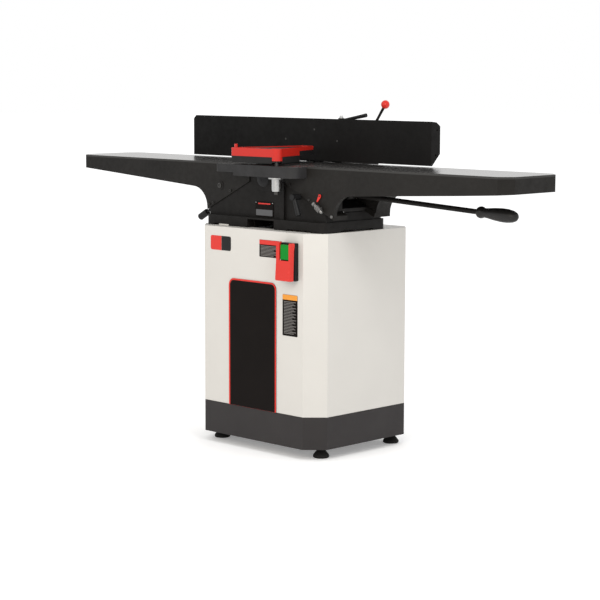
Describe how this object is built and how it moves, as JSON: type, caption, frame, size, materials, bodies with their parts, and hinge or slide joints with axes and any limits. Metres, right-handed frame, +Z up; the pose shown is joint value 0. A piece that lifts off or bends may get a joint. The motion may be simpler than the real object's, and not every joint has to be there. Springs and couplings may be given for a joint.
{
  "type": "woodworking jointer",
  "caption": "Closed-stand woodworking jointer with long infeed and outfeed tables, tilting centre-mounted fence, swinging cutter guard, knife cutterhead and belt drive in a chamfered cabinet.",
  "frame": {"origin": "on the floor, under the middle of the machine's outer size", "axes": "+X towards the infeed end, +Y towards the rear, behind the fence, +Z up"},
  "size_m": [1.689, 0.53, 0.9871],
  "materials": {
    "white_paint": "warm white satin enamel on sheet steel",
    "dark_paint": "charcoal satin enamel on sheet steel",
    "black_casting": "black painted casting, fine texture",
    "ground_iron": "cast iron with ground working faces",
    "bright_steel": "bright machined steel",
    "black_plastic": "black moulded plastic",
    "red_plastic": "red moulded plastic",
    "green_plastic": "green moulded plastic",
    "rubber": "black rubber",
    "motor_paint": "dark grey enamel",
    "galvanised": "zinc-grey steel"
  },
  "bodies": {
    "stand": {"cabinet_shell": "white_paint", "cabinet_base": "dark_paint", "foot_front_left": "rubber", "foot_front_right": "rubber", "foot_rear_left": "rubber", "foot_rear_right": "rubber", "rear_access_panel": "white_paint", "front_trim_panel": "black_plastic", "chip_chute": "galvanised", "dust_port": "black_plastic", "cable_gland": "black_plastic", "motor_housing": "motor_paint", "motor_terminal_box": "motor_paint", "motor_bracket": "dark_paint", "drive_belt": "rubber", "belt_guard": "black_casting", "bed_casting": "black_casting", "nameplate": "ground_iron", "front_bearing_housing": "black_casting", "rear_bearing_housing": "black_casting", "front_bearing": "bright_steel", "rear_bearing": "bright_steel", "fence_base": "black_casting", "switch_box": "black_plastic"},
    "infeed": {"infeed_table": "ground_iron", "infeed_gib": "bright_steel", "rabbeting_ledge": "ground_iron", "lever_pivot_pin": "bright_steel", "depth_stop_bracket": "black_casting", "depth_pointer": "red_plastic"},
    "lever": {"elevation_lever": "black_casting", "lever_grip": "black_plastic"},
    "infeed_lock": {"infeed_lock_handle": "black_plastic"},
    "depth_stop": {"depth_stop_plunger": "bright_steel"},
    "guard_pivot": {"guard_post": "bright_steel", "guard_spring_housing": "bright_steel"},
    "guard": {"guard_cover": "red_plastic", "guard_skirt": "rubber", "guard_top_plate": "black_plastic"},
    "outfeed": {"outfeed_table": "ground_iron", "outfeed_gib": "bright_steel"},
    "outfeed_lock": {"outfeed_lock_knob": "black_plastic"},
    "cutterhead": {"cutterhead_body": "bright_steel", "knife_1": "bright_steel", "knife_2": "bright_steel", "knife_3": "bright_steel", "knife_gib_1": "ground_iron", "knife_gib_2": "ground_iron", "knife_gib_3": "ground_iron", "cutterhead_pulley": "galvanised"},
    "motor_rotor": {"motor_pulley": "galvanised"},
    "carriage": {"fence_carriage": "black_casting", "fence_hinge_pin_left": "bright_steel", "fence_hinge_pin_right": "bright_steel"},
    "slide_lock": {"fence_lock_lever": "black_casting", "fence_lock_ball": "red_plastic"},
    "tilt_lock": {"fence_tilt_lever": "black_plastic"},
    "fence_body": {"fence": "ground_iron"},
    "start": {"start_button": "green_plastic"},
    "stop": {"stop_paddle": "red_plastic"}
  },
  "joints": [
    {"name": "infeed_slide", "type": "slide", "parent": "stand", "child": "infeed", "axis": [0.8949, 0, -0.4462], "range_m": [0, 0.0285]},
    {"name": "lever_swing", "type": "hinge", "parent": "infeed", "child": "lever", "pos_m": [0.215, -0.084, 0.733], "axis": [0, 1, 0], "range_deg": [0, 18.1]},
    {"name": "infeed_lock_turn", "type": "hinge", "parent": "infeed", "child": "infeed_lock", "pos_m": [0.12, -0.196, 0.7256], "axis": [0, 1, 0], "range_deg": [-30, 30]},
    {"name": "depth_stop_plunge", "type": "slide", "parent": "infeed", "child": "depth_stop", "axis": [0.8069, 0, -0.5907], "range_m": [0, 0.006], "stiffness_N_per_m": 400},
    {"name": "guard_follow", "type": "hinge", "parent": "infeed", "child": "guard_pivot", "pos_m": [0.062, -0.214, 0.8], "axis": [0, 0, 1], "range_deg": [0, 88]},
    {"name": "guard_swing", "type": "hinge", "parent": "guard_pivot", "child": "guard", "pos_m": [0.062, -0.214, 0.8], "axis": [0, 0, 1], "range_deg": [0, 75], "stiffness_Nm_per_rad": 0.3},
    {"name": "outfeed_slide", "type": "slide", "parent": "stand", "child": "outfeed", "axis": [-0.8949, 0, -0.4462], "range_m": [0, 0.014]},
    {"name": "outfeed_lock_turn", "type": "hinge", "parent": "outfeed", "child": "outfeed_lock", "pos_m": [-0.2859, -0.154, 0.6606], "axis": [-0.8712, 0, -0.4909], "range_deg": [0, 180]},
    {"name": "cutterhead_spin", "type": "hinge", "parent": "stand", "child": "cutterhead", "pos_m": [-0.024, -0.07, 0.77], "axis": [0, 1, 0], "continuous": true},
    {"name": "motor_spin", "type": "hinge", "parent": "stand", "child": "motor_rotor", "pos_m": [-0.024, 0.064, 0.285], "axis": [0, 1, 0], "continuous": true},
    {"name": "fence_slide", "type": "slide", "parent": "stand", "child": "carriage", "axis": [0, -1, 0], "range_m": [0, 0.18]},
    {"name": "slide_lock_turn", "type": "hinge", "parent": "carriage", "child": "slide_lock", "pos_m": [0.03, 0.166, 0.845], "axis": [0, 1, 0], "range_deg": [0, 45]},
    {"name": "tilt_lock_turn", "type": "hinge", "parent": "carriage", "child": "tilt_lock", "pos_m": [-0.052, 0.166, 0.9183], "axis": [0, 0, 1], "range_deg": [0, 60]},
    {"name": "fence_tilt", "type": "hinge", "parent": "carriage", "child": "fence_body", "pos_m": [-0.052, 0.0485, 0.833], "axis": [1, 0, 0], "range_deg": [-45, 45]},
    {"name": "start_press", "type": "slide", "parent": "stand", "child": "start", "axis": [0, 1, 0], "range_m": [0, 0.004], "stiffness_N_per_m": 300},
    {"name": "stop_press", "type": "hinge", "parent": "stand", "child": "stop", "pos_m": [0.135, -0.2478, 0.598], "axis": [1, 0, 0], "range_deg": [0, 3], "stiffness_Nm_per_rad": 4}
  ],
  "couplings": [
    {"joint": "lever_swing", "follows": "infeed_slide", "rad_per_m": 11},
    {"joint": "guard_follow", "follows": "fence_slide", "rad_per_m": 8.5},
    {"joint": "motor_spin", "follows": "cutterhead_spin", "ratio": 0.625}
  ]
}
